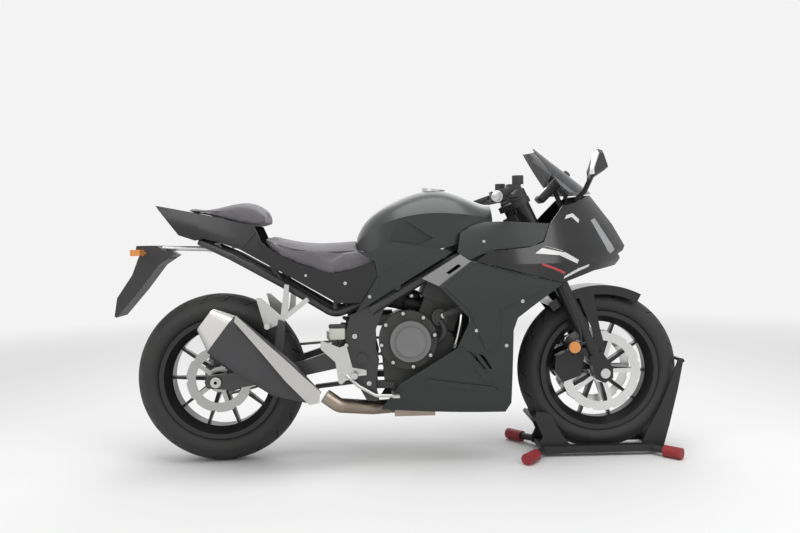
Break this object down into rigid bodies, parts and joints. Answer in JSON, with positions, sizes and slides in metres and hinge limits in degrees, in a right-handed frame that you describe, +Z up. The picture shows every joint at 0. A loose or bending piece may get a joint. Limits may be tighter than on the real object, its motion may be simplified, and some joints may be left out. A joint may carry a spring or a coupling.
{
  "type": "sport motorcycle",
  "caption": "Faired sport motorcycle with raked steering, spinning wheels and a folding side stand, its front wheel held in a wheel chock.",
  "frame": {"origin": "on the floor, under the middle of the whole object's box", "axes": "+X forward, +Y to the rider's left, +Z up"},
  "size_m": [2.0993, 0.772, 1.1349],
  "materials": {
    "axle_steel": "bright steel",
    "black_frame": "satin black paint",
    "black_plastic": "textured black",
    "black_swingarm": "satin black paint",
    "body_black": "gloss black",
    "body_matt": "matt green-black",
    "brake_black": "black anodised",
    "cap_red": "red rubber",
    "chain_steel": "oiled steel",
    "chock_black": "black powder coat",
    "cover_grey": "dark grey painted casting",
    "disc_steel": "ground steel",
    "engine_black": "black painted casting",
    "exhaust_steel": "heat-tinted steel",
    "lens_amber": "amber lens",
    "lens_clear": "clear lamp lens",
    "lens_red": "red lens",
    "muffler_black": "matt black heat paint",
    "radiator_black": "matt black",
    "rim_black": "satin black cast alloy",
    "screen": "smoke tinted",
    "seat_vinyl": "matt grained vinyl",
    "shock_steel": "dark painted steel",
    "silver_alloy": "silver painted alloy",
    "silver_metal": "brushed silver",
    "tank_paint": "satin gunpowder black",
    "trim_silver": "silver",
    "tyre_rubber": "tyre rubber"
  },
  "bodies": {
    "chassis": {"main_frame": "black_frame", "subframe": "black_frame", "swingarm": "black_swingarm", "rear_axle": "axle_steel", "rear_shock": "shock_steel", "drive_chain": "chain_steel", "engine_case": "engine_black", "engine_top": "engine_black", "engine_covers": "cover_grey", "radiator": "radiator_black", "header_pipes": "exhaust_steel", "muffler": "muffler_black", "muffler_cap": "silver_metal", "heat_shield": "silver_metal", "fuel_tank": "tank_paint", "tank_cap": "silver_alloy", "rider_seat": "seat_vinyl", "pillion_seat": "seat_vinyl", "tail_cowl_right": "body_black", "tail_cowl_left": "body_black", "tail_light": "lens_red", "side_covers": "body_matt", "plate_arm": "silver_alloy", "rear_guard": "black_plastic", "rear_indicators": "lens_amber", "side_cowl_right": "body_matt", "side_cowl_left": "body_matt", "upper_cowls": "body_matt", "side_trims": "trim_silver", "nose_cowl": "body_black", "headlamps": "lens_clear", "windscreen": "screen", "dash": "black_plastic", "fairing_stay": "black_frame", "tail_spine": "black_plastic", "mirrors": "black_plastic", "rider_rests": "silver_alloy", "pillion_rests": "silver_alloy", "rear_caliper": "brake_black"},
    "side_stand_leg": {"side_stand": "black_swingarm"},
    "steering_set": {"fork_legs": "brake_black", "fork_clamps": "engine_black", "front_axle": "axle_steel", "handlebars": "black_plastic", "front_guard": "body_black", "front_calipers": "brake_black", "chock_frame": "chock_black", "chock_caps": "cap_red"},
    "front_wheel": {"front_tyre": "tyre_rubber", "front_rim": "rim_black", "front_discs": "disc_steel"},
    "rear_wheel": {"rear_tyre": "tyre_rubber", "rear_rim": "rim_black", "rear_disc": "disc_steel", "rear_sprocket": "chain_steel"}
  },
  "joints": [
    {"name": "steering", "type": "hinge", "parent": "chassis", "child": "steering_set", "pos_m": [0.831, 0, 0.012], "axis": [-0.4305, 0, 0.9026], "range_deg": [-32, 32]},
    {"name": "front_wheel_spin", "type": "hinge", "parent": "steering_set", "child": "front_wheel", "pos_m": [0.729, 0, 0.312], "axis": [0, 1, 0], "continuous": true},
    {"name": "rear_wheel_spin", "type": "hinge", "parent": "chassis", "child": "rear_wheel", "pos_m": [-0.681, 0, 0.312], "axis": [0, 1, 0], "continuous": true},
    {"name": "side_stand_swing", "type": "hinge", "parent": "chassis", "child": "side_stand_leg", "pos_m": [-0.121, 0.166, 0.256], "axis": [0.078, -0.9714, -0.2241], "range_deg": [0, 100]}
  ]
}
